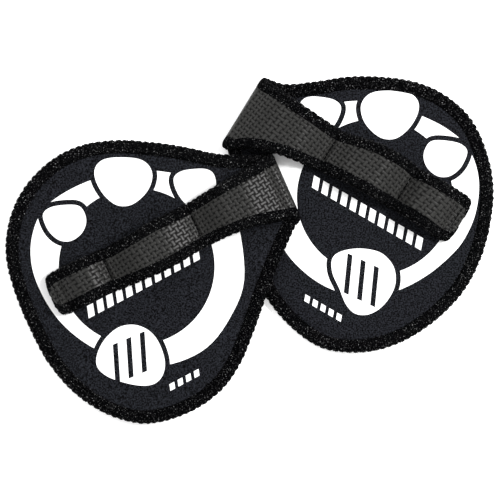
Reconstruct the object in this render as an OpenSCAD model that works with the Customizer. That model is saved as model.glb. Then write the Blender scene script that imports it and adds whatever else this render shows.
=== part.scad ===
// A pair of gym hand grips. Each grip is an oval pad of rubber-backed neoprene with a tongue
// that folds over onto the printed face, where it is sewn down as a strap of three finger loops.
// The right grip lies flat and the left grip leans on its lower left edge.
// Each grip is drawn in its own frame: origin at the middle of the printed ring, +X towards
// the fold, +Z out of the printed face. The right grip is drawn as a left-hand shape and mirrored.

/* [Laminate] */
// Thickness of the textured rubber on the back
rubber_t = 0.6; // [0.4:0.1:0.8]
// Thickness of the neoprene foam
foam_t = 2.6; // [2:0.1:2.8]
// Thickness of the jersey that carries the prints
jersey_t = 0.4; // [0.3:0.05:0.5]
// Thickness of the printed ink
ink_t = 0.15; // [0.1:0.01:0.2]

/* [Edge stitching] */
// Width of the stitched band round the pad
pad_band_w = 6.2; // [5:0.1:7]
// Width of the stitched bands along the strap
strap_band_w = 5.6; // [4.5:0.1:6.5]
// How far the stitching stands above the sheet
band_rise = 0.4; // [0.2:0.05:0.5]
// How far the thread wraps past the cut edge of the foam
thread_wrap = 0.6; // [0.4:0.1:1]

/* [Finger loops] */
// Height of each loop's crown above the sewn strap
loop_rise = 6; // [5:0.1:8]
// Gap between the pad's stitching and the strap that is sewn onto it
strap_gap = 0.4; // [0.3:0.05:0.6]
// Share of a loop over which it climbs to its crown
loop_ramp = 0.42; // [0.35:0.01:0.5]
// Width of a row of seam thread
seam_w = 0.9; // [0.6:0.1:1.2]

/* [Prints] */
// Radius of the printed ring's inner edge
ring_r = 37.5; // [36:0.1:39]
// Bare cloth left between the ring and the finger spots
spot_gap = 2.4; // [1.5:0.1:3]
// Height of the row of slanted bars
bar_h = 5.6; // [4:0.1:7]
// Height of the small ticks that tell the hands apart
tick_h = 3; // [2:0.1:4]

/* [Layout] */
// Heading of the left grip's fold
left_heading = 23; // [20:1:25]
// Heading of the right grip's fold, on the other side
right_heading = 25; // [23:1:28]
// Lean of the left grip, whose fold lies on the right grip
left_lean = 2.4; // [2.3:0.1:3]

/* [Hidden] */
PARTS = [
    "rubber_back", "foam_core", "palm_jersey", "edge_overlock",
    "ring_print", "finger_spots", "heel_spot", "bar_print", "hand_ticks",
    "loop_seams", "end_seam",
    "strap_rubber", "strap_foam", "strap_lining", "strap_overlock_upper", "strap_overlock_lower"
];

sheet_t = rubber_t + foam_t + jersey_t;
face_z = sheet_t;
band_top = face_z + band_rise;
strap_z = band_top + strap_gap;
fold_r = (strap_z + sheet_t) / 2;
joint_gap = 0.3;
steps = 5;
spot_steps = 4;
loop_steps = 12;
bend_steps = 12;
far = 300;
$fn = 48;

// Middles of the two printed rings and the height at which the left one leans
left_origin = [-53.95, -8.1, 2.68];
right_origin = [60.25, 25.3, 0];

// Pad outlines, counter-clockwise from the tongue, which runs on past the fold
left_pad = [
    [95, 2], [95, 16.5], [82, 22.7], [70, 28.3], [57, 34.2], [43, 44], [29, 52.4], [13, 60.1],
    [-4, 64.1], [-21, 62.2], [-37.3, 54.5], [-49.2, 42.6], [-56.4, 28.1], [-59, 11], [-59.1, -7],
    [-57.3, -26], [-51.1, -44.6], [-40.2, -60.2], [-25.3, -71], [-6, -74.1], [12, -71.1],
    [27, -62.5], [41, -48.8], [54, -34.5], [67, -21.5], [80, -9.5]
];
right_pad = [
    [92, 0], [92, 15], [75, 28], [62, 30.9], [50, 37.7], [36, 46.9], [21, 53.8], [5, 58.4],
    [-11, 58.5], [-26.9, 53.1], [-40.6, 41.2], [-49.8, 28.1], [-55.8, 11.8], [-58.7, -6],
    [-57.6, -24], [-51, -42.4], [-40.2, -58.7], [-26.1, -70.1], [-8, -76.3], [10.2, -73.5],
    [27, -65.5], [41, -53], [53, -39.5], [63, -25.5], [71, -12], [81, -4.5]
];

// Long edges of the straps, from past the fold to the sewn end
left_strap_upper = [
    [90, 25.5], [77, 23.8], [63, 21.8], [48, 19.8], [33, 17.9], [15, 16.6], [-2, 14.3],
    [-20, 13.9], [-37, 13.2], [-50, 12.4]
];
left_strap_lower = [
    [90, -11], [80, -8.6], [71, -6.8], [60, -4.6], [46, -4], [32, -4.6], [15, -7.1],
    [0, -7.3], [-18, -6.9], [-34, -8], [-50, -8]
];
right_strap_upper = [
    [88, 29], [74, 28.2], [63, 27.2], [52, 25], [38, 22.9], [24, 21.7], [8, 23.6],
    [-4, 23], [-15, 20.9], [-30, 19.9], [-50, 18]
];
right_strap_lower = [
    [88, -16], [77, -10.8], [68, -6.3], [57, -2.8], [46, -0.9], [30, -0.1], [14, -0.4],
    [-4, -1.4], [-20, -3.3], [-35, -5.4], [-50, -6.5]
];

// Fold: where its axis crosses the strap's middle, and how far it is turned off square
left_fold = [77.5, 8, 1];
right_fold = [71.7, 9, 6.5];
// Distances from the fold to the two seams between the loops, the end seam and the strap's end
left_seams = [43.5, 90.5, 117.5, 120.6];
right_seams = [42, 82, 110.5, 113.6];

// Printed ring: round hole, free outer edge, one list of points for each hand
left_ring = [
    [52.6, -2], [52.8, 12], [46, 25], [32.5, 35], [17, 43], [0, 46.4], [-17, 46.3], [-31, 42.5],
    [-41, 32.5], [-46.3, 20], [-47.2, 6], [-44.8, -8], [-39, -21], [-30, -33], [-18, -44],
    [-2, -49.6], [16, -48.8], [32, -39.8], [45, -26]
];
right_ring = [
    [53.2, -2], [53.2, 12], [46, 25], [32.5, 35.3], [17, 42.5], [0, 44.6], [-17, 44.4], [-31, 40],
    [-41.5, 29], [-47, 14], [-47.5, 0], [-44.6, -11], [-38, -24.5], [-28, -37], [-15, -46],
    [0, -49], [15, -47.2], [30, -40.5], [45, -26]
];

// Finger spots under the first three fingers, as on the left hand
finger_spot_curves = [
    [[-13, 34], [-14.6, 38], [-20.5, 40.8], [-27, 42.3], [-31.4, 41], [-32.6, 37], [-32, 31],
     [-29, 25.8], [-24, 23.6], [-18, 25], [-14, 29]],
    [[24.4, 42], [22, 46.2], [17, 49.5], [9, 52.8], [3.5, 53.2], [-0.5, 50.5], [-2, 45],
     [-1, 37.5], [2.5, 31], [8, 28.3], [14, 29], [20, 32], [24, 37]],
    [[51.4, 26], [49, 29.8], [43, 32.4], [37, 33.6], [33, 32], [31.8, 27], [32.5, 21],
     [35, 16], [40, 13.5], [46, 15], [50, 20]]
];
// How far each spot is moved on the right hand
right_spot_shifts = [[0.9, -1.8], [0.2, -1.2], [0.1, 0.4]];
left_heel = [
    [-4.3, -41], [-5, -34], [-8, -28.5], [-13, -24.7], [-20, -23.5], [-28, -26.3], [-34, -31.5],
    [-36.2, -37], [-33.5, -43], [-27, -49], [-20, -53.5], [-14, -55], [-9, -53], [-5.5, -48]
];
right_heel = [
    [6, -36], [4.5, -31.5], [-1, -27], [-8, -24], [-15, -23.2], [-22, -26.3], [-26, -32],
    [-27, -38.5], [-25.3, -46.5], [-21, -52.5], [-15, -54.8], [-9, -52.5], [-3, -47], [3, -41.8]
];

// ---- curves -------------------------------------------------------------------------------

// Smooth curve through points: between p[1] and p[2], at share t
function between(p, t) =
    0.5 * (2 * p[1] + (p[2] - p[0]) * t + (2 * p[0] - 5 * p[1] + 4 * p[2] - p[3]) * t * t
    + (3 * p[1] - p[0] - 3 * p[2] + p[3]) * t * t * t);

function closed_curve(points, n = steps) =
    let (count = len(points))
    [for (i = [0 : count - 1]) for (k = [0 : n - 1])
        between([for (j = [-1 : 2]) points[(i + j + count) % count]], k / n)];

function open_curve(points, n = steps) =
    let (last = len(points) - 1)
    concat(
        [for (i = [0 : last - 1]) for (k = [0 : n - 1])
            between([for (j = [-1 : 2]) points[max(0, min(last, i + j))]], k / n)],
        [points[last]]);

function reversed(list) = [for (i = [len(list) - 1 : -1 : 0]) list[i]];

// Closed counter-clockwise curve moved inwards by a distance
function inset(curve, distance) =
    let (count = len(curve))
    [for (i = [0 : count - 1])
        let (run = curve[(i + 1) % count] - curve[(i + count - 1) % count])
        curve[i] + distance * [-run.y, run.x] / norm(run)];

// ---- one grip: choice of hand -------------------------------------------------------------

function pad_curve(side) = closed_curve(side == "left" ? left_pad : right_pad);
function ring_curve(side) = closed_curve(side == "left" ? left_ring : right_ring);
function fold(side) = side == "left" ? left_fold : right_fold;
function seams(side) = side == "left" ? left_seams : right_seams;
function heel(side) = closed_curve(side == "left" ? left_heel : right_heel, spot_steps);
function finger_curves(side) =
    [for (i = [0 : 2])
        [for (p = closed_curve(finger_spot_curves[i], spot_steps))
            side == "left" ? p : p + right_spot_shifts[i]]];
function upper_edge(side) = open_curve(side == "left" ? left_strap_upper : right_strap_upper);
function lower_edge(side) = open_curve(side == "left" ? left_strap_lower : right_strap_lower);

module placed(side) {
    if (side == "left")
        translate(left_origin) rotate([0, -left_lean, 0]) rotate([0, 0, left_heading]) children();
    else
        translate(right_origin) mirror([1, 0, 0]) rotate([0, 0, right_heading]) children();
}

// Frame of the fold: its axis along Y, the strap running off towards -X
module at_fold(side) {
    translate([fold(side)[0], fold(side)[1], 0]) rotate([0, 0, fold(side)[2]]) children();
}

// ---- pad ----------------------------------------------------------------------------------

// Side view of one layer of the sheet: flat in the pad, then half round the fold
function sheet_profile(low, high) =
    concat(
        [[-far, low]],
        [for (i = [0 : bend_steps]) fold_r * [0, 1] + (fold_r - low) * turned(i)],
        [for (i = [bend_steps : -1 : 0]) fold_r * [0, 1] + (fold_r - high) * turned(i)],
        [[-far, high]]);

function turned(i) = let (a = 180 * i / bend_steps - 90) [cos(a), sin(a)];

// One layer of the sheet, in from the pad's edge by a distance
module sheet_layer(side, edge, low, high) {
    intersection() {
        translate([0, 0, -1]) linear_extrude(2 * fold_r + 2) polygon(inset(pad_curve(side), edge));
        at_fold(side) rotate([90, 0, 0]) linear_extrude(far, center = true)
            polygon(sheet_profile(low, high));
    }
}

module rubber_back(side) {
    color([0.27, 0.27, 0.26]) sheet_layer(side, pad_band_w, 0, rubber_t);
}

module foam_core(side) {
    color([0.1, 0.1, 0.1]) sheet_layer(side, thread_wrap, rubber_t, rubber_t + foam_t);
}

module palm_jersey(side) {
    color([0.1, 0.1, 0.12]) sheet_layer(side, pad_band_w, rubber_t + foam_t, face_z);
}

// Thread wrapped over the cut edge, and on round both ends of the fold
module edge_overlock(side) {
    color([0.06, 0.06, 0.06]) difference() {
        sheet_layer(side, 0, 0, band_top);
        translate([0, 0, -1]) linear_extrude(2 * fold_r + 2)
            polygon(inset(pad_curve(side), pad_band_w));
        sheet_layer(side, thread_wrap, rubber_t, rubber_t + foam_t);
    }
}

// ---- prints -------------------------------------------------------------------------------

module ink(z = face_z) {
    color("white") translate([0, 0, z]) linear_extrude(ink_t) children();
}

// Ring, open where the finger and heel spots sit in it
module ring_print(side) {
    ink() difference() {
        polygon(ring_curve(side));
        circle(r = ring_r, $fn = 96);
        for (spot = concat(finger_curves(side), [heel(side)])) polygon(inset(spot, -spot_gap));
        seam_plan(side, [seams(side)[2]]);
    }
}

module finger_spots(side) {
    ink() intersection() {
        union() for (spot = finger_curves(side)) polygon(spot);
        polygon(inset(pad_curve(side), pad_band_w));
    }
}

// Heel spot, crossed by plain slanted stripes
module heel_spot(side) {
    ink() difference() {
        polygon(heel(side));
        translate(side == "left" ? [-20, -39] : [-11, -39]) bar_row(3, 7, 2.6, 18);
    }
}

module slanted_bar(width, height) {
    lean = height * 0.35;
    translate([-(width + lean) / 2, -height / 2])
        polygon([[0, 0], [width, 0], [width + lean, height], [lean, height]]);
}

module bar_row(count, pitch, width, height) {
    for (i = [0 : count - 1])
        translate([(i - (count - 1) / 2) * pitch, 0]) slanted_bar(width, height);
}

// Row of slanted bars across the palm, just below the strap
module bar_print(side) {
    ink() translate([0, -8.4]) rotate(5) bar_row(12, 5.2, 3.3, bar_h);
}

// Small ticks near the heel: four on the left hand, five on the right
module hand_ticks(side) {
    count = side == "left" ? 4 : 5;
    ink() translate([0, -58.9]) rotate(5) bar_row(count, 4.4, 2.6, tick_h);
}

// ---- strap --------------------------------------------------------------------------------

// Plan of the strap between its stitched bands, or of one whole band
module strap_plan(side, band) {
    upper = upper_edge(side);
    lower = lower_edge(side);
    in = [0, strap_band_w];
    if (band == "upper")
        polygon(concat(upper, reversed([for (p = upper) p - in])));
    else if (band == "lower")
        polygon(concat(lower, reversed([for (p = lower) p + in])));
    else
        polygon(concat([for (p = upper) p - in], reversed([for (p = lower) p + in])));
}

module in_plan(side, band) {
    intersection() {
        linear_extrude(far / 2, center = true) strap_plan(side, band);
        at_fold(side) children();
    }
}

// Share of a loop's full rise at share t of its length
function loop_shape(t) =
    t < loop_ramp ? (1 - cos(180 * t / loop_ramp)) / 2 :
    t > 1 - loop_ramp ? (1 - cos(180 * (1 - t) / loop_ramp)) / 2 : 1;

// Line of the strap's underside, from the fold to its end: [distance from the fold, height]
function strap_line(side) =
    let (s = seams(side), from = [joint_gap, s[0], s[1]], to = [s[0], s[1], s[2] - 3])
    concat(
        [for (i = [0 : 2]) for (k = [0 : loop_steps - 1])
            let (t = k / loop_steps)
            [-(from[i] + (to[i] - from[i]) * t), strap_z + loop_rise * loop_shape(t)]],
        [[-to[2], strap_z], [-s[3], strap_z]]);

// That line raised square to itself
function raised(line, height) =
    let (last = len(line) - 1)
    [for (i = [0 : last])
        let (run = line[max(0, i - 1)] - line[min(last, i + 1)])
        i == 0 || i == last ? line[i] + [0, height] : line[i] + height * [-run.y, run.x] / norm(run)];

module strap_layer(side, band, low, high) {
    line = strap_line(side);
    in_plan(side, band) rotate([90, 0, 0]) linear_extrude(far / 2, center = true)
        polygon(concat(raised(line, low), reversed(raised(line, high))));
}

module strap_rubber(side) {
    color([0.27, 0.27, 0.26]) strap_layer(side, "middle", jersey_t + foam_t, sheet_t);
}

module strap_foam(side) {
    color([0.1, 0.1, 0.1]) strap_layer(side, "middle", jersey_t, jersey_t + foam_t);
}

module strap_lining(side) {
    color([0.1, 0.1, 0.12]) strap_layer(side, "middle", 0, jersey_t);
}

module strap_overlock(side, band) {
    color([0.06, 0.06, 0.06]) strap_layer(side, band, 0, sheet_t);
}

// Rows of thread that hold the strap to the palm, at distances from the fold
module seam_plan(side, distances) {
    intersection() {
        strap_plan(side, "middle");
        at_fold(side) for (d = distances)
            translate([-d - seam_w / 2, -far / 4]) square([seam_w, far / 2]);
    }
}

module seam_rows(side, distances) {
    color([0.04, 0.04, 0.04]) translate([0, 0, face_z]) linear_extrude(band_rise)
        seam_plan(side, distances);
}

module loop_seams(side) {
    seam_rows(side, [seams(side)[0], seams(side)[1]]);
}

module end_seam(side) {
    seam_rows(side, [seams(side)[2]]);
}

// ---- assembly -----------------------------------------------------------------------------

for (side = ["right", "left"]) placed(side) {
    rubber_back(side);
    foam_core(side);
    palm_jersey(side);
    edge_overlock(side);
    ring_print(side);
    finger_spots(side);
    heel_spot(side);
    bar_print(side);
    hand_ticks(side);
    loop_seams(side);
    end_seam(side);
    strap_rubber(side);
    strap_foam(side);
    strap_lining(side);
    strap_overlock(side, "upper");
    strap_overlock(side, "lower");
}
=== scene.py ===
"""Looks of a pair of neoprene hand grips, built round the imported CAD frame.

Each grip is drawn in its own frame, in millimetres: origin at the middle of the printed ring,
+X towards the fold, +Z out of the printed face. Grip.place() takes it to the row frame.
"""

import math

import bmesh
import bpy
import numpy as np
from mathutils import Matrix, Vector


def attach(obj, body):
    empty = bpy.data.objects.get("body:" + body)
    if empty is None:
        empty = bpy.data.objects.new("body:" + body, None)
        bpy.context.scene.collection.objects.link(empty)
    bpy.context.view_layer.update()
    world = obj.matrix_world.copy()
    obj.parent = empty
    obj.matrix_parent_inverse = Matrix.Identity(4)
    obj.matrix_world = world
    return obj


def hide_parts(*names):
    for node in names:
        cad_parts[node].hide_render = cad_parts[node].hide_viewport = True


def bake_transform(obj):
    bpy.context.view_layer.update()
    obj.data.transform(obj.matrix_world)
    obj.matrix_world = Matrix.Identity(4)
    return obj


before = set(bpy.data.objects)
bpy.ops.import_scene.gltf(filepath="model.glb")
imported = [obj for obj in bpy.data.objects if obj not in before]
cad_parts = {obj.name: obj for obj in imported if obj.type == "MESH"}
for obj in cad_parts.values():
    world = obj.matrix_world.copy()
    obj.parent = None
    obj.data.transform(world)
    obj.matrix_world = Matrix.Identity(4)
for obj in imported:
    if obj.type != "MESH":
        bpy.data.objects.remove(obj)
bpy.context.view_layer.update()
MM = 0.001

# ---- sizes, as in the CAD --------------------------------------------------------------------

RUBBER_T, FOAM_T, JERSEY_T = 0.6, 2.6, 0.4
SHEET_T = RUBBER_T + FOAM_T + JERSEY_T
MIDDLE = SHEET_T / 2
FOAM_TOP = RUBBER_T + FOAM_T
PAD_BAND_W, STRAP_BAND_W = 6.2, 5.6
BAND_RISE, STRAP_GAP = 0.4, 0.4
BAND_TOP = SHEET_T + BAND_RISE
STRAP_Z = BAND_TOP + STRAP_GAP
FOLD_R = (STRAP_Z + SHEET_T) / 2
LOOP_RISE, LOOP_RAMP = 6.0, 0.42
JOINT_GAP = 0.3
FOLD_LENGTH = math.pi * FOLD_R + JOINT_GAP
END_TAB = 3.0

# Each side's placement, its fold (x, y, turn in degrees), its two loop seams, end seam and strap's
# end (distances from the fold), and the control points of its outlines
SIDES = {
    "left": {
        "origin": (-53.95, -8.1, 2.68), "heading": 23.0, "lean": 2.4, "mirrored": False,
        "fold": (77.5, 8.0, 1.0), "seams": (43.5, 90.5, 117.5, 120.6),
        "pad": [
            (95, 2), (95, 16.5), (82, 22.7), (70, 28.3), (57, 34.2), (43, 44), (29, 52.4), (13, 60.1),
            (-4, 64.1), (-21, 62.2), (-37.3, 54.5), (-49.2, 42.6), (-56.4, 28.1), (-59, 11),
            (-59.1, -7), (-57.3, -26), (-51.1, -44.6), (-40.2, -60.2), (-25.3, -71), (-6, -74.1),
            (12, -71.1), (27, -62.5), (41, -48.8), (54, -34.5), (67, -21.5), (80, -9.5)],
        "upper": [
            (90, 25.5), (77, 23.8), (63, 21.8), (48, 19.8), (33, 17.9), (15, 16.6), (-2, 14.3),
            (-20, 13.9), (-37, 13.2), (-50, 12.4)],
        "lower": [
            (90, -11), (80, -8.6), (71, -6.8), (60, -4.6), (46, -4), (32, -4.6), (15, -7.1),
            (0, -7.3), (-18, -6.9), (-34, -8), (-50, -8)],
    },
    "right": {
        "origin": (60.25, 25.3, 0.0), "heading": 25.0, "lean": 0.0, "mirrored": True,
        "fold": (71.7, 9.0, 6.5), "seams": (42.0, 82.0, 110.5, 113.6),
        "pad": [
            (92, 0), (92, 15), (75, 28), (62, 30.9), (50, 37.7), (36, 46.9), (21, 53.8), (5, 58.4),
            (-11, 58.5), (-26.9, 53.1), (-40.6, 41.2), (-49.8, 28.1), (-55.8, 11.8), (-58.7, -6),
            (-57.6, -24), (-51, -42.4), (-40.2, -58.7), (-26.1, -70.1), (-8, -76.3), (10.2, -73.5),
            (27, -65.5), (41, -53), (53, -39.5), (63, -25.5), (71, -12), (81, -4.5)],
        "upper": [
            (88, 29), (74, 28.2), (63, 27.2), (52, 25), (38, 22.9), (24, 21.7), (8, 23.6),
            (-4, 23), (-15, 20.9), (-30, 19.9), (-50, 18)],
        "lower": [
            (88, -16), (77, -10.8), (68, -6.3), (57, -2.8), (46, -0.9), (30, -0.1), (14, -0.4),
            (-4, -1.4), (-20, -3.3), (-35, -5.4), (-50, -6.5)],
    },
}

CORNER_R = 4.5                         # of the strap's end
GROOVE_SHARE, GROOVE_W = 0.25, 1.4     # how far a loop seam pinches the strap, and how wide
EDGE_STEP, FOLD_BLEND, SLOPE_STEP = 1.0, 9.0, 0.05
STRAP_CURVE_STEPS, PAD_CURVE_STEPS = 16, 40
UNDER_BAND = 0.4                       # how far the strap's layers run on under its thread bands
COARSE = 4                             # embossing steps to one step of the plain layers
FOLD_RELIEF, FOLD_FADE = 0.25, 0.4     # relief left where the fold is worn, and how far round that is

# Sections of the pad's layers, as (w, n) from one face round the rim to the other
HEM = PAD_BAND_W - 0.6
BACK_SECTION = [(HEM + 1, RUBBER_T), (HEM, RUBBER_T), (HEM, 0.2), (HEM + 0.4, 0.05), (HEM + 1, 0)]
FOAM_SECTION = [
    (4.0, FOAM_TOP), (2.0, FOAM_TOP), (1.2, FOAM_TOP - 0.6), (1.0, MIDDLE),
    (1.2, RUBBER_T + 0.6), (2.0, RUBBER_T), (4.0, RUBBER_T)]
JERSEY_SECTION = [
    (PAD_BAND_W + 2.6, SHEET_T), (PAD_BAND_W + 1.2, SHEET_T - 0.08), (PAD_BAND_W + 0.3, SHEET_T - 0.25),
    (HEM, SHEET_T - 0.3), (HEM, FOAM_TOP - 0.1), (PAD_BAND_W + 0.3, FOAM_TOP - 0.1),
    (PAD_BAND_W + 2.6, FOAM_TOP)]

# Section of a stitched band, as (distance, drop from its face): the edge's rounding, measured in
# from the edge, and the dip at the needle line, measured back from that line
EDGE_ROUND, NEEDLE_DIP = [(1.4, 0.1), (0.6, 0.5), (0.15, 1.2)], [(0, 0.45), (0.4, 0.2), (1.6, 0.05)]
UNDER_ROUND, UNDER_DIP = [(0.15, 1.2), (0.6, 0.5), (1.4, 0.15)], [(1.6, 0.1), (0.4, 0.1), (0, 0.35)]
UNDER_RISE = 0.1

# Overlock thread: strands that wrap the edge, a few to each stitch
STITCH_PITCH, STRANDS = 3.3, 5
THREAD_R, THREAD_STEPS = 0.3, 17
BASE_STEPS = 6                          # steps of the band's base to each stitch
BASE_SINK, THREAD_SINK = 0.5, 0.7       # depth below the band's section, in thread radii
THREAD_LEAN, THREAD_WAVER = 0.8, 0.15   # sideways run of a strand, in gaps between strands
END_TAPER = 0.6                         # thickness of a strand's ends
ASIDE = 0.3                             # step that gives a tube its sideways direction
# Unevenness of the strands: along the edge in gaps, in depth, in inset and in share of thickness
UNEVEN_ALONG, UNEVEN_DEPTH, UNEVEN_INSET, UNEVEN_THICK = 0.1, 0.06, 0.15, 0.15
# Scallops: how far the edge swings, the shape of a swell, what is taken off it, and its reach inwards
SCALLOP, SWELL_POWER, SWELL_MEAN, SWELL_REACH = 0.6, 0.7, 0.7, 1.3

# Rows of needle thread along the band, as short arched stitches
NEEDLE_PITCH, NEEDLE_R, NEEDLE_STEPS = 1.65, 0.24, 5
HALF_NEEDLE = 0.42                      # half a stitch, in pitches
NEEDLE_ARCH, NEEDLE_SINK = 1.6, 0.1
NEEDLE_INSET, UNEVEN_NEEDLE = 0.7, 0.08

# Seams across the strap
SEAM_PITCH, SEAM_THREAD_R, END_THREAD_R = 2.6, 0.28, 0.18
SEAM_STEPS, SEAM_SIDES, SEAM_MARGIN = 7, 8, 1.5
HALF_SEAM = 0.4                         # half a stitch, in pitches
SEAM_RISE, SEAM_ARCH = 1.2, 1.6         # in thread radii

# Embossed rubber: an open plain weave, with its strands turned from the strap's length
WEAVE_PITCH = 2.3
WEAVE_TURN = math.radians(8.5)
BAR_W, BAR_L, BAR_SLOPE = 1.35, 2.95, 0.4
EMBOSS_H = 0.35
EMBOSS_GRID = 0.2

BLUE, WARM = (0.85, 0.92, 1.15), (1.0, 0.99, 0.94)
KNIT_PITCH = 0.6
CREASE = 50   # degrees between faces beyond which an edge is sharp
rng = np.random.default_rng(12)


# ---- curves ----------------------------------------------------------------------------------

def smooth_curve(points, closed, steps):
    """Catmull-Rom curve through points."""
    p = np.array(points, float)
    count = len(p)
    t = np.linspace(0, 1, steps, endpoint=False)[:, None]
    out = []
    for i in range(count if closed else count - 1):
        if closed:
            a, b, c, d = (p[(i + j) % count] for j in (-1, 0, 1, 2))
        else:
            a, b, c, d = (p[min(max(i + j, 0), count - 1)] for j in (-1, 0, 1, 2))
        out.append(0.5 * (2 * b + (c - a) * t + (2 * a - 5 * b + 4 * c - d) * t**2
                          + (3 * b - a - 3 * c + d) * t**3))
    if not closed:
        out.append(p[-1:])
    return np.concatenate(out)


def lengths(path):
    """Distance along a path at each of its points."""
    return np.concatenate([[0], np.cumsum(np.linalg.norm(np.diff(path, axis=0), axis=1))])


def along(path, distances, at):
    """Points of a path at given distances along it."""
    return np.stack([np.interp(at, distances, path[:, k]) for k in range(path.shape[1])], -1)


def unit(v):
    return v / np.maximum(np.linalg.norm(v, axis=-1, keepdims=True), 1e-9)


def smoothstep(t):
    t = np.clip(t, 0, 1)
    return t * t * (3 - 2 * t)


# ---- meshes ----------------------------------------------------------------------------------

def grid_faces(rows, columns, closed):
    """Quads of a grid of points numbered row by row; closed joins its last column to its first."""
    last = columns if closed else columns - 1
    return [(r * columns + c, r * columns + (c + 1) % columns,
             (r + 1) * columns + (c + 1) % columns, (r + 1) * columns + c)
            for r in range(rows - 1) for c in range(last)]


class Mesh:
    """Points in a grip's own frame, in millimetres, and faces between them."""

    def __init__(self):
        self.points, self.faces, self.count = [], [], 0

    def add(self, points, faces):
        self.points.append(np.asarray(points, float).reshape(-1, 3))
        self.faces.extend([tuple(i + self.count for i in f) for f in faces])
        self.count += len(self.points[-1])

    def slab(self, top, bottom):
        """Closed slab between two equal grids of points."""
        rows, columns = top.shape[:2]
        half = rows * columns
        sheet = grid_faces(rows, columns, False)
        rim = list(range(columns))
        rim += [r * columns + columns - 1 for r in range(1, rows)]
        rim += [(rows - 1) * columns + c for c in range(columns - 2, -1, -1)]
        rim += [r * columns for r in range(rows - 2, 0, -1)]
        faces = sheet + [tuple(i + half for i in reversed(f)) for f in sheet]
        faces += [(b, a, a + half, b + half) for a, b in zip(rim, rim[1:] + rim[:1])]
        self.add(np.concatenate([top.reshape(-1, 3), bottom.reshape(-1, 3)]), faces)

    def plate(self, loops):
        """Closed plate through loops of points, from the middle of one face round to the other."""
        rows, columns = loops.shape[:2]
        faces = grid_faces(rows, columns, True)
        faces += [tuple(range(columns - 1, -1, -1))]
        faces += [tuple(range((rows - 1) * columns, rows * columns))]
        self.add(loops, faces)

    def tubes(self, paths, radii, across, sides=5):
        """Round threads along paths of shape (threads, points, 3); across points off their run."""
        threads, steps = paths.shape[:2]
        run = unit(np.gradient(paths, axis=1))
        out = unit(across - (across * run).sum(-1, keepdims=True) * run)
        third = np.cross(run, out)
        turn = (np.arange(sides) * 2 * math.pi / sides)[:, None]
        ring = np.cos(turn) * out[:, :, None] + np.sin(turn) * third[:, :, None]
        points = paths[:, :, None] + radii[:, :, None, None] * ring
        one = grid_faces(steps, sides, True)
        one += [tuple(range(sides - 1, -1, -1)), tuple(range((steps - 1) * sides, steps * sides))]
        stride = steps * sides
        self.add(points, [tuple(i + k * stride for i in f) for k in range(threads) for f in one])

    def piece(self, name, grip, material):
        """The mesh as an object in the row frame, its faces turned outwards."""
        data = bpy.data.meshes.new(name)
        data.from_pydata(grip.place(np.concatenate(self.points)).tolist(), [], self.faces)
        work = bmesh.new()
        work.from_mesh(data)
        bmesh.ops.recalc_face_normals(work, faces=work.faces)
        work.to_mesh(data)
        work.free()
        data.shade_smooth()
        data.set_sharp_from_angle(angle=math.radians(CREASE))
        data.materials.append(material)
        piece = bpy.data.objects.new(name, data)
        bpy.context.scene.collection.objects.link(piece)
        return piece


# ---- one grip --------------------------------------------------------------------------------

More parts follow.
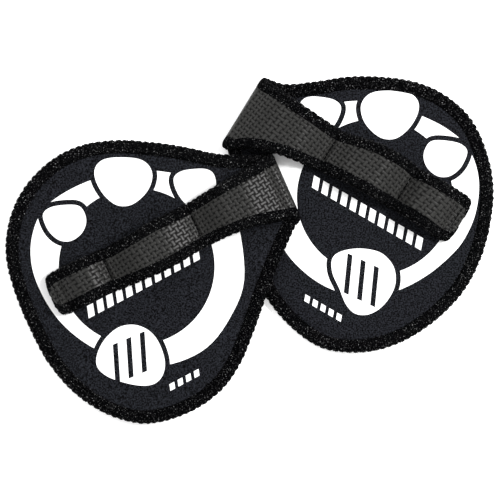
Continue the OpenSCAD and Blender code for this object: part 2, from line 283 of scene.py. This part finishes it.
class Grip:
    """Placement, outlines and strap line of one hand's grip.

    Its fold frame has X' out past the fold, Y' along the fold and Z as in the grip's frame.
    """

    def __init__(self, side):
        spec = SIDES[side]
        self.side, self.mirrored, self.seams = side, spec["mirrored"], spec["seams"]
        self.origin = np.array(spec["origin"])
        self.heading, self.lean = math.radians(spec["heading"]), math.radians(spec["lean"])
        self.fold_at = np.array(spec["fold"][:2])
        turn = math.radians(spec["fold"][2])
        self.fold_x = np.array([math.cos(turn), math.sin(turn)])
        self.fold_y = np.array([-math.sin(turn), math.cos(turn)])
        self.upper = self.to_fold(smooth_curve(spec["upper"], False, STRAP_CURVE_STEPS))[::-1]
        self.lower = self.to_fold(smooth_curve(spec["lower"], False, STRAP_CURVE_STEPS))[::-1]
        self.edge = self.pad_edge(spec["pad"])
        self.edge_run = lengths(self.edge)
        self.inward = self.edge_normals()
        self.pad_ends = self.to_fold(self.edge[[0, -1]])[:, 1]
        self.grip_body, self.strap_body = side + "_grip", side + "_strap"

    def place(self, p):
        """Grip frame in millimetres to row frame in metres."""
        c, s = math.cos(self.heading), math.sin(self.heading)
        x, y, z = c * p[:, 0] - s * p[:, 1], s * p[:, 0] + c * p[:, 1], p[:, 2]
        if self.mirrored:
            x = -x
        c, s = math.cos(self.lean), math.sin(self.lean)
        return (np.stack([c * x - s * z, y, s * x + c * z], 1) + self.origin) * MM

    def to_fold(self, xy):
        q = xy - self.fold_at
        return np.stack([q @ self.fold_x, q @ self.fold_y], -1)

    def from_fold(self, x, y, z):
        x, y, z = np.broadcast_arrays(x, y, z)
        xy = self.fold_at + x[..., None] * self.fold_x + y[..., None] * self.fold_y
        return np.concatenate([xy, z[..., None]], -1)

    # -- pad --

    def pad_edge(self, points):
        """Pad outline at even steps, from the fold's upper end round to its lower end."""
        curve = smooth_curve(points, True, PAD_CURVE_STEPS)
        beyond = self.to_fold(curve)[:, 0] > 0
        start = next(i for i in range(len(curve)) if beyond[i - 1] and not beyond[i])
        curve, beyond = np.roll(curve, -start, axis=0), np.roll(beyond, -start)
        stop = int(np.argmax(beyond))
        ends = []
        for inner, outer in ((curve[0], curve[-1]), (curve[stop - 1], curve[stop])):
            a, b = self.to_fold(inner)[0], self.to_fold(outer)[0]
            ends.append(inner + (outer - inner) * a / (a - b))
        curve = np.concatenate([ends[:1], curve[:stop], ends[1:]])
        run = lengths(curve)
        return along(curve, run, np.linspace(0, run[-1], int(run[-1] / EDGE_STEP)))

    def edge_normals(self):
        """Directions into the pad along its edge, turned to run along the fold at both ends."""
        run = unit(np.gradient(self.edge, axis=0))
        inward = np.stack([-run[:, 1], run[:, 0]], -1)
        share = smoothstep(np.minimum(self.edge_run, self.edge_run[-1] - self.edge_run) / FOLD_BLEND)
        ends = np.where((self.edge_run < self.edge_run[-1] / 2)[:, None], -self.fold_y, self.fold_y)
        return unit(inward * share[:, None] + ends * (1 - share[:, None]))

    def on_pad(self, t, w, n):
        """Point at distance t along the pad's edge, w in from it and n above the rubber's face."""
        t, w, n = np.broadcast_arrays(t, w, n)
        xy = along(self.edge, self.edge_run, t) + w[..., None] * along(self.inward, self.edge_run, t)
        return np.concatenate([xy, n[..., None]], -1)

    def pad_loop(self, w, n):
        return self.on_pad(self.edge_run, w, n)

    # -- fold --

    def fold_edge(self, t, side):
        """Y' of the fold's edge at distance t round it, from the pad's edge to the strap's."""
        share = smoothstep(t / FOLD_LENGTH)
        strap = self.strap_edges(np.array([JOINT_GAP]))[0 if side > 0 else 1]
        return self.pad_ends[0 if side > 0 else 1] * (1 - share) + strap * share

    def around_fold(self, t, y, n):
        """Point at distance t round the fold's rubber, at Y' y and n in from the rubber's face."""
        a = np.minimum(t / FOLD_R, math.pi)
        past = np.maximum(t - math.pi * FOLD_R, 0)
        reach = FOLD_R - n
        return self.from_fold(reach * np.sin(a) - past, y, FOLD_R - reach * np.cos(a))

    def on_fold(self, side):
        return lambda t, w, n: self.around_fold(t, self.fold_edge(t, side) - side * w, n)

    # -- strap --

    def strap_edges(self, s):
        """Y' of the strap's edges at distances s from the fold, with its end's corners rounded."""
        corner = np.clip((s - (self.seams[3] - CORNER_R)) / CORNER_R, 0, 1)
        trim = CORNER_R * (1 - np.sqrt(1 - corner**2))
        upper = np.interp(-s, self.upper[:, 0], self.upper[:, 1])
        lower = np.interp(-s, self.lower[:, 0], self.lower[:, 1])
        return upper - trim, lower + trim

    def loops(self):
        """(start, end) of the three finger loops as distances from the fold."""
        return list(zip((JOINT_GAP, *self.seams[:2]), (*self.seams[:2], self.seams[2] - END_TAB)))

    def strap_height(self, s):
        h = np.full_like(s, STRAP_Z)
        for a, b in self.loops():
            t = (s - a) / (b - a)
            climb = np.clip(np.minimum(t, 1 - t) / LOOP_RAMP, 0, 1)
            h += LOOP_RISE * (1 - np.cos(math.pi * climb)) / 2
        return h

    def on_strap_middle(self, s, y, n):
        """Point at distance s from the fold and Y' y, n down from the strap's rubber face."""
        s, y, n = np.broadcast_arrays(np.asarray(s, float), y, n)
        ahead, behind = self.strap_height(s + SLOPE_STEP), self.strap_height(s - SLOPE_STEP)
        slope = (ahead - behind) / 2 / SLOPE_STEP
        normal = unit(np.stack([slope, np.ones_like(s)], -1))
        pinch = sum(np.exp(-(((s - seam) / GROOVE_W) ** 2)) for seam in self.seams[:2])
        rise = (SHEET_T - n) * (1 - GROOVE_SHARE * pinch)
        height = self.strap_height(s) + normal[..., 1] * rise
        return self.from_fold(-s + normal[..., 0] * rise, y, height)

    def on_strap(self, side):
        """Edge mapping of the strap: its upper edge for side 1, its lower edge for side -1."""
        def place(t, w, n):
            edge = self.strap_edges(np.asarray(t, float))[0 if side > 0 else 1]
            return self.on_strap_middle(t, edge - side * w, n)
        return place

    def half_loops(self):
        """Half loops as (from, to, sewn end, crown); the last runs on to the strap's end."""
        out = []
        for a, b in self.loops():
            crown = (a + b) / 2
            out += [(a, crown, a, crown), (crown, b, b, crown)]
        start, _, sewn, crown = out[-1]
        out[-1] = (start, self.seams[3], sewn, crown)
        return out

    def bend(self, piece, sewn, crown):
        """Bakes a piece's placement into its mesh; it works out where the piece is sewn down and its
        loop's crown but does not bend it.
        """
        ends = self.place(self.from_fold(-np.array([sewn, crown]), 0.0, STRAP_Z))
        tuple(ends[0])
        tuple(ends[1])
        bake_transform(piece)


# ---- materials -------------------------------------------------------------------------------

class Shader:
    """A Principled material whose nodes are added by short calls."""

    def __init__(self, name, roughness, **inputs):
        self.material = bpy.data.materials.new(name)
        self.material.use_nodes = True
        self.tree = self.material.node_tree
        self.main = self.tree.nodes["Principled BSDF"]
        self.main.inputs["Roughness"].default_value = roughness
        for socket, value in inputs.items():
            self.main.inputs[socket].default_value = value
        self.place = self.node("ShaderNodeTexCoord").outputs["Object"]
        self.height = None

    def node(self, kind, operation=None, **inputs):
        made = self.tree.nodes.new(kind)
        if operation:
            made.operation = operation
        for socket, value in inputs.items():
            self.feed(made.inputs[socket], value)
        return made

    def feed(self, socket, value):
        if isinstance(value, bpy.types.NodeSocket):
            self.tree.links.new(value, socket)
        else:
            socket.default_value = value

    def maths(self, operation, a, b=0.0):
        made = self.node("ShaderNodeMath", operation)
        self.feed(made.inputs[0], a)
        self.feed(made.inputs[1], b)
        return made.outputs[0]

    def noise(self, size, detail=2.0):
        """Noise whose grains are size millimetres across."""
        return self.node("ShaderNodeTexNoise", Vector=self.place, Scale=1 / (size * MM),
                         Detail=detail).outputs["Fac"]

    def ramp(self, factor, stops):
        made = self.node("ShaderNodeValToRGB", Fac=factor)
        elements = made.color_ramp.elements
        while len(elements) < len(stops):
            elements.new(0.5)
        for element, (position, color) in zip(elements, stops):
            element.position, element.color = position, (*color, 1.0)
        return made.outputs["Color"]

    def set(self, socket, value):
        self.feed(self.main.inputs[socket], value)

    def bump(self, height, depth):
        """Adds relief depth millimetres deep on top of what is there."""
        made = self.node("ShaderNodeBump", Height=height, Distance=depth * MM)
        if self.height:
            self.tree.links.new(self.height, made.inputs["Normal"])
        self.height = made.outputs["Normal"]
        self.set("Normal", self.height)


def grey(v, tint=(1.0, 1.0, 1.0)):
    return tuple(v * c for c in tint)


def jersey_material():
    """Fine knit: rows of tiny stitches, near black and slightly blue, with a soft sheen."""
    s = Shader("palm_jersey", 0.8, **{"Specular IOR Level": 0.04, "Sheen Weight": 0.005})
    wave = s.node("ShaderNodeTexWave", Vector=s.place, Scale=1 / (KNIT_PITCH * MM * 20),
                  Distortion=1.5)
    wave.inputs["Detail Scale"].default_value = 4.0
    s.set("Base Color", s.ramp(s.noise(0.7, 4.0), [
        (0.4, grey(0.0003, BLUE)), (0.62, grey(0.017, BLUE))]))
    s.bump(wave.outputs["Fac"], 0.06)
    s.bump(s.noise(0.5), 0.16)
    return s.material


def thread_material():
    """Thread of the stitched edges: black and fuzzy, with pale specks in its colour that are painted
    highlights, glints of light on the fibres.
    """
    s = Shader("edge_thread", 0.4, **{"Specular IOR Level": 0.01})
    # Painted highlights: the pale top of this colour ramp stands in for glints of light on the thread,
    # not for pale fibres.
    s.set("Base Color", s.ramp(s.noise(0.6, 2.0), [
        (0.42, grey(0.0003, BLUE)), (0.59, grey(0.002, BLUE)), (0.67, grey(0.03)), (0.8, grey(0.35))]))
    s.set("Roughness", s.ramp(s.noise(0.6), [(0.3, grey(0.3)), (0.7, grey(0.65))]))
    s.bump(s.noise(0.3, 3.0), 0.2)
    return s.material


def weave(s):
    """The rubber's relief as nodes: 1 on the bars that emboss() draws, else 0."""
    parts = s.node("ShaderNodeSeparateXYZ", Vector=s.place)
    a, b = (s.maths("DIVIDE", parts.outputs[k], WEAVE_PITCH * MM) for k in "XY")
    near_a, near_b = s.maths("ROUND", a), s.maths("ROUND", b)

    def bar(off, run):
        beside = s.maths("LESS_THAN", s.maths("ABSOLUTE", off), BAR_W / 2 / WEAVE_PITCH)
        before = s.maths("LESS_THAN", s.maths("PINGPONG", run, 1.0), BAR_L / 2 / WEAVE_PITCH)
        return s.maths("MULTIPLY", beside, before)

    return s.maths("MAXIMUM", bar(s.maths("SUBTRACT", b, near_b), s.maths("SUBTRACT", a, near_b)),
                   bar(s.maths("SUBTRACT", a, near_a),
                       s.maths("ADD", s.maths("SUBTRACT", b, near_a), 1.0)))


def rubber_material(name, modelled):
    """Dark grey rubber with a low gloss and painted shade: its colour is darker between the bars of its
    relief and lighter on them, and varies at random over the bars. The relief is either modelled and
    carried as an attribute, or drawn by the material."""
    s = Shader(name, 0.5, **{"Specular IOR Level": 0.14})
    s.bump(s.noise(0.2, 3.0), 0.04)
    if modelled:
        relief = s.node("ShaderNodeAttribute")
        relief.attribute_name = "relief"
        relief = relief.outputs["Fac"]
    else:
        relief = weave(s)
        s.bump(relief, EMBOSS_H)
    wear = s.maths("ADD", s.maths("MULTIPLY", s.noise(2.0, 4.0), 0.8), 0.5)
    painted_shade_and_wear = s.maths("MULTIPLY", relief, wear)
    # Painted shade: the colour is darkest in the grooves and lightest on the bars' tops, standing in for
    # shade in the recesses; the wear noise only varies the bars at random.
    s.set("Base Color", s.ramp(painted_shade_and_wear, [
        (0.0, grey(0.002, WARM)), (0.4, grey(0.004, WARM)), (1.0, grey(0.022, WARM))]))
    s.set("Roughness", s.ramp(relief, [(0.1, grey(0.8)), (0.9, grey(0.34))]))
    return s.material


def foam_material():
    s = Shader("neoprene_foam", 0.9, **{"Specular IOR Level": 0.2})
    s.set("Base Color", s.ramp(s.noise(0.4), [(0.3, grey(0.006)), (0.7, grey(0.016))]))
    s.bump(s.noise(0.25, 3.0), 0.1)
    return s.material


def ink_material():
    """Screen-printed white ink, matt, with the knit showing faintly through."""
    s = Shader("print_ink", 0.55, **{"Specular IOR Level": 0.3})
    s.set("Base Color", s.ramp(s.noise(1.2), [(0.3, grey(0.86)), (0.7, grey(0.9))]))
    s.bump(s.noise(0.4), 0.02)
    return s.material


# ---- pieces ----------------------------------------------------------------------------------

def emboss(x, y):
    """Height, from 0 to 1, of the rubber's relief: each strand's bars pass over every other one."""
    a = (math.cos(WEAVE_TURN) * x + math.sin(WEAVE_TURN) * y) / WEAVE_PITCH
    b = (math.cos(WEAVE_TURN) * y - math.sin(WEAVE_TURN) * x) / WEAVE_PITCH
    near_a, near_b = np.round(a), np.round(b)

    def bar(off, run):
        run = np.abs(run - 2 * np.round(run / 2))
        beside = smoothstep((BAR_W / 2 - WEAVE_PITCH * np.abs(off)) / BAR_SLOPE + 0.5)
        return beside * smoothstep((BAR_L / 2 - WEAVE_PITCH * run) / BAR_SLOPE + 0.5)

    return np.maximum(bar(b - near_b, a - near_b), bar(a - near_a, b - near_a + 1))


def band_profile(thickness, width, sink):
    """(w, n) points round a stitched band, from its needle line on top over the edge and back."""
    top, bottom = thickness - sink, sink
    return np.array(
        [(width - w, top - drop) for w, drop in NEEDLE_DIP] + [(width / 2, top)]
        + [(w, top - drop) for w, drop in EDGE_ROUND] + [(0, thickness / 2)]
        + [(w, bottom + drop) for w, drop in UNDER_ROUND] + [(width / 2, bottom + UNDER_RISE)]
        + [(width - w, bottom + drop) for w, drop in UNDER_DIP])


def scalloped(place, start, pitch):
    """The same mapping with the edge drawn in at the stitches and swelling out between them."""
    def out(t, w, n):
        swell = np.abs(np.sin(math.pi * (t - start) / pitch)) ** SWELL_POWER - SWELL_MEAN
        return place(t, w - SCALLOP * swell * np.exp(-((w / SWELL_REACH) ** 2)), n)
    return out


def stitched_band(mesh, place, start, end, thickness, width):
    """Band along an edge: its base, the threads that wrap it and its rows of needle thread.

    place maps (distance along the edge, distance in from it, depth through the sheet) to a point.
    """
    count = max(int(round((end - start) / STITCH_PITCH)), 1)
    pitch = (end - start) / count
    place = scalloped(place, start, pitch)
    t = np.linspace(start, end, count * BASE_STEPS + 1)
    base = band_profile(thickness, width, THREAD_R * BASE_SINK)
    mesh.plate(np.stack([place(t, w, n) for w, n in base], 1))

    line = band_profile(thickness, width, THREAD_R * THREAD_SINK)
    share = lengths(line)
    fine = np.linspace(0, 1, THREAD_STEPS)
    w, n = (np.interp(fine * share[-1], share, line[:, k]) for k in (0, 1))
    strands = count * STRANDS
    gap = (end - start) / strands
    for lean in (-1, 1):
        uneven = rng.normal(0, UNEVEN_ALONG, (strands, 1)) * gap
        first = start + gap * (np.arange(strands)[:, None] + 0.5) + uneven
        sway = (lean * THREAD_LEAN * np.cos(2 * math.pi * fine)
                + THREAD_WAVER * np.sin(6 * math.pi * fine))
        at = np.clip(first + sway * gap, start, end)
        depth = n + rng.normal(0, UNEVEN_DEPTH, (strands, 1))
        inset = np.maximum(w + rng.normal(0, UNEVEN_INSET, (strands, 1)), 0)
        paths = place(at, inset, depth)
        thick = THREAD_R * (1 + UNEVEN_THICK * rng.standard_normal((strands, 1)))
        thick = thick * np.ones(THREAD_STEPS)
        thick[:, [0, -1]] *= END_TAPER
        mesh.tubes(paths, thick, place(at + ASIDE, inset, depth) - paths)

    needles = max(int((end - start) / NEEDLE_PITCH), 1)
    middle = start + (end - start) * (np.arange(needles)[:, None] + 0.5) / needles
    run = np.linspace(-HALF_NEEDLE, HALF_NEEDLE, NEEDLE_STEPS) * NEEDLE_PITCH
    arch = NEEDLE_R * (1 - NEEDLE_ARCH * (run / run[-1]) ** 2) - NEEDLE_SINK
    for row in (width - NEEDLE_INSET, width / 2):
        for face, out in ((thickness, 1), (0.0, -1)):
            at = np.clip(middle + run, start, end)
            depth = face + out * arch + 0 * at
            inset = row + rng.normal(0, UNEVEN_NEEDLE, (needles, 1)) + 0 * at
            paths = place(at, inset, np.maximum(depth, NEEDLE_R) if out < 0 else depth)
            mesh.tubes(paths, NEEDLE_R + 0 * at, place(at, inset, depth + ASIDE * out) - paths)


def build_grip(side, looks):
    """All the soft pieces of one hand's grip."""
    grip = Grip(side)
    build_pad(grip, looks)
    build_fold(grip, looks)
    for number, half in enumerate(grip.half_loops(), 1):
        build_half_loop(grip, looks, number, *half)
    build_seams(grip, looks)
    for name in ("ring_print", "finger_spots", "heel_spot", "bar_print", "hand_ticks"):
        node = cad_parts[f"{side}_{name}"]
        node.data.materials.clear()
        node.data.materials.append(looks["print_ink"])


def finish_piece(mesh, grip, name, look, looks, slot, replaces=(), ride=True, relief=None):
    """Makes a mesh a piece of the grip, hides the CAD nodes it draws and, if it rides, attaches it to
    its body; slot is not used.
    """
    piece = mesh.piece(f"{grip.side}_{name}", grip, looks[look])
    if relief is not None:
        values = np.concatenate([relief.ravel(), np.zeros(len(piece.data.vertices) - relief.size)])
        layer = piece.data.attributes.new("relief", "FLOAT", "POINT")
        layer.data.foreach_set("value", values.astype(np.float32))
    if replaces:
        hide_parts(*(f"{grip.side}_{node}" for node in replaces))
    if ride:
        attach(piece, grip.grip_body)
    return piece


def build_pad(grip, looks):
    """The pad's rubber back, foam and jersey, and the stitched band round its edge."""
    def layer(section):
        made = Mesh()
        made.plate(np.stack([grip.pad_loop(w, n) for w, n in section]))
        return made

    finish_piece(layer(BACK_SECTION), grip, "back_rubber", "back_rubber", looks, "grip_rubber",
                 ["rubber_back"])
    foam = finish_piece(layer(FOAM_SECTION), grip, "pad_foam", "neoprene_foam", looks, "neoprene_foam",
                        ["foam_core"])
    jersey = finish_piece(layer(JERSEY_SECTION), grip, "pad_jersey", "palm_jersey", looks,
                          "palm_jersey", ["palm_jersey"])
    outline = grip.pad_loop(HEM, 0)

    band = Mesh()
    stitched_band(band, grip.on_pad, 0, grip.edge_run[-1], BAND_TOP, PAD_BAND_W)
    finish_piece(band, grip, "pad_overlock", "edge_thread", looks, "edge_thread", ["edge_overlock"])


def build_fold(grip, looks):
    """The tongue where it turns over: embossed rubber outside, cloth inside, thread at both ends."""
    rows = int(FOLD_LENGTH / EMBOSS_GRID)
    t = np.linspace(0, FOLD_LENGTH, rows)[:, None]
    upper = grip.fold_edge(t, 1) - STRAP_BAND_W + UNDER_BAND
    lower = grip.fold_edge(t, -1) + STRAP_BAND_W - UNDER_BAND
    across = np.linspace(0, 1, int(np.ptp([upper[0], lower[0]]) / EMBOSS_GRID))[None]
    y = upper + (lower - upper) * across
    unworn = smoothstep((t / FOLD_LENGTH - FOLD_FADE) / (1 - FOLD_FADE))
    fade = FOLD_RELIEF + (1 - FOLD_RELIEF) * unworn
    relief = 1 - fade * (1 - emboss(FOLD_LENGTH - JOINT_GAP - t, y))
    rubber = Mesh()
    rubber.slab(grip.around_fold(t, y, EMBOSS_H * (1 - relief)), grip.around_fold(t, y, RUBBER_T))
    finish_piece(rubber, grip, "fold_rubber", "grip_rubber", looks, "grip_rubber", relief=relief)

    coarse, narrow = t[::COARSE], y[::COARSE, ::COARSE]
    for name, low, high, look in (("fold_foam", RUBBER_T, FOAM_TOP, "neoprene_foam"),
                                  ("fold_jersey", FOAM_TOP, SHEET_T, "palm_jersey")):
        layer = Mesh()
        layer.slab(grip.around_fold(coarse, narrow, low), grip.around_fold(coarse, narrow, high))
        piece = finish_piece(layer, grip, name, look, looks, look)

    band = Mesh()
    for end in (1, -1):
        stitched_band(band, grip.on_fold(end), 0, FOLD_LENGTH, SHEET_T, STRAP_BAND_W)
    finish_piece(band, grip, "fold_overlock", "edge_thread", looks, "edge_thread")


def build_half_loop(grip, looks, number, start, end, sewn, crown):
    """Half a finger loop, from where it is sewn down to its crown, in all the strap's layers."""
    def half(name):
        return f"loop_{name}_{number}"

    rows = int((end - start) / EMBOSS_GRID)
    s = np.linspace(start, end, rows)[:, None]
    upper, lower = grip.strap_edges(s)
    upper, lower = upper - STRAP_BAND_W + UNDER_BAND, lower + STRAP_BAND_W - UNDER_BAND
    width = float(np.mean(upper - lower))
    y = upper + (lower - upper) * np.linspace(0, 1, int(width / EMBOSS_GRID))[None]

    relief = emboss(-s, y)
    rubber = Mesh()
    rubber.slab(grip.on_strap_middle(s, y, EMBOSS_H * (1 - relief)),
                grip.on_strap_middle(s, y, RUBBER_T))
    grip.bend(finish_piece(rubber, grip, half("rubber"), "grip_rubber", looks, "grip_rubber",
                           ["strap_rubber"], ride=False, relief=relief), sewn, crown)

    some = np.r_[0:rows - 1:COARSE, rows - 1]
    coarse, narrow = s[some], y[some][:, ::COARSE]

    def layer(name, low, high, look, node):
        made = Mesh()
        made.slab(grip.on_strap_middle(coarse, narrow, low),
                  grip.on_strap_middle(coarse, narrow, high))
        piece = finish_piece(made, grip, half(name), look, looks, look, [node], ride=False)
        grip.bend(piece, sewn, crown)
        return piece

    foam = layer("foam", RUBBER_T, FOAM_TOP, "neoprene_foam", "strap_foam")
    lining = layer("lining", FOAM_TOP, SHEET_T, "palm_jersey", "strap_lining")
    run = lengths(grip.on_strap_middle(coarse[:, 0], 0.0, SHEET_T))[-1]

    for edge, word in ((1, "upper"), (-1, "lower")):
        band = Mesh()
        stitched_band(band, grip.on_strap(edge), start, end, SHEET_T, STRAP_BAND_W)
        grip.bend(finish_piece(band, grip, half(f"overlock_{word}"), "edge_thread", looks, "edge_thread",
                               [f"strap_overlock_{word}"], ride=False), sewn, crown)


def build_seams(grip, looks):
    """Rows of stitches across the strap, where it is sewn down to the palm."""
    for name, at, radius in (("loop_seams", grip.seams[:2], SEAM_THREAD_R),
                             ("end_seam", grip.seams[2:3], END_THREAD_R)):
        rows = Mesh()
        for s in at:
            upper, lower = (float(v[0]) for v in grip.strap_edges(np.array([s])))
            middles = np.arange(lower + SEAM_MARGIN, upper - SEAM_MARGIN, SEAM_PITCH)[:, None]
            share = np.linspace(-1, 1, SEAM_STEPS)
            rise = radius * (SEAM_RISE - SEAM_ARCH * share**4) + 0 * middles
            paths = grip.on_strap_middle(s, middles + HALF_SEAM * SEAM_PITCH * share, -rise)
            upwards = np.broadcast_to([0.0, 0.0, 1.0], paths.shape)
            rows.tubes(paths, radius + 0 * rise, upwards, sides=SEAM_SIDES)
        finish_piece(rows, grip, name + "_thread", "edge_thread", looks, "edge_thread", [name])


# ---- the pair --------------------------------------------------------------------------------

looks = {
    "palm_jersey": jersey_material(),
    "edge_thread": thread_material(),
    "grip_rubber": rubber_material("grip_rubber", True),
    "back_rubber": rubber_material("back_rubber", False),
    "neoprene_foam": foam_material(),
    "print_ink": ink_material(),
}
for hand in SIDES:
    build_grip(hand, looks)

# ---- floor, light and camera -----------------------------------------------------------------

# In metres, but for the sensor's width in millimetres
VIEW_WIDTH, VIEW_PLANE = 0.24, 0.0045   # width the camera sees, at about the height of the prints
CAMERA_HEIGHT, SENSOR_W = 0.9, 36
LOOK_AT = (0.00025, -0.00018)
NEAR, FAR = 0.01, 10
FLOOR_SIZE, FLOOR_DROP = 6, 0.0002
FLOOR_GLOW, SKY_STRENGTH = 0.4, 0.8

paper = Shader("paper", 0.9, **{"Emission Color": (1, 1, 1, 1), "Emission Strength": FLOOR_GLOW})
paper.set("Base Color", paper.ramp(paper.noise(3.0), [(0.0, grey(0.9)), (1.0, grey(0.92))]))
bpy.ops.mesh.primitive_plane_add(size=FLOOR_SIZE, location=(0, 0, -FLOOR_DROP))
floor = bpy.context.object
floor.name = "floor"
floor.data.materials.append(paper.material)


def softbox(name, position, size, watts):
    """Square area light aimed at the grips."""
    data = bpy.data.lights.new(name, "AREA")
    data.size, data.energy = size, watts
    light = bpy.data.objects.new(name, data)
    light.location = position
    light.rotation_euler = (-Vector(position)).to_track_quat("-Z", "Y").to_euler()
    bpy.context.scene.collection.objects.link(light)


softbox("key", (1.3, 0.5, 1.4), 0.5, 55)
softbox("fill", (-0.9, 0.9, 1.8), 1.2, 15)

world = bpy.data.worlds.new("studio")
world.use_nodes = True
world.node_tree.nodes["Background"].inputs["Color"].default_value = (1, 1, 1, 1)
world.node_tree.nodes["Background"].inputs["Strength"].default_value = SKY_STRENGTH
bpy.context.scene.world = world
bpy.context.scene.view_settings.view_transform = "Standard"

lens = bpy.data.cameras.new("camera")
lens.sensor_width = SENSOR_W
lens.lens = SENSOR_W * (CAMERA_HEIGHT - VIEW_PLANE) / VIEW_WIDTH
lens.clip_start, lens.clip_end = NEAR, FAR
camera = bpy.data.objects.new("camera", lens)
camera.location = (*LOOK_AT, CAMERA_HEIGHT)
bpy.context.scene.collection.objects.link(camera)
bpy.context.scene.camera = camera
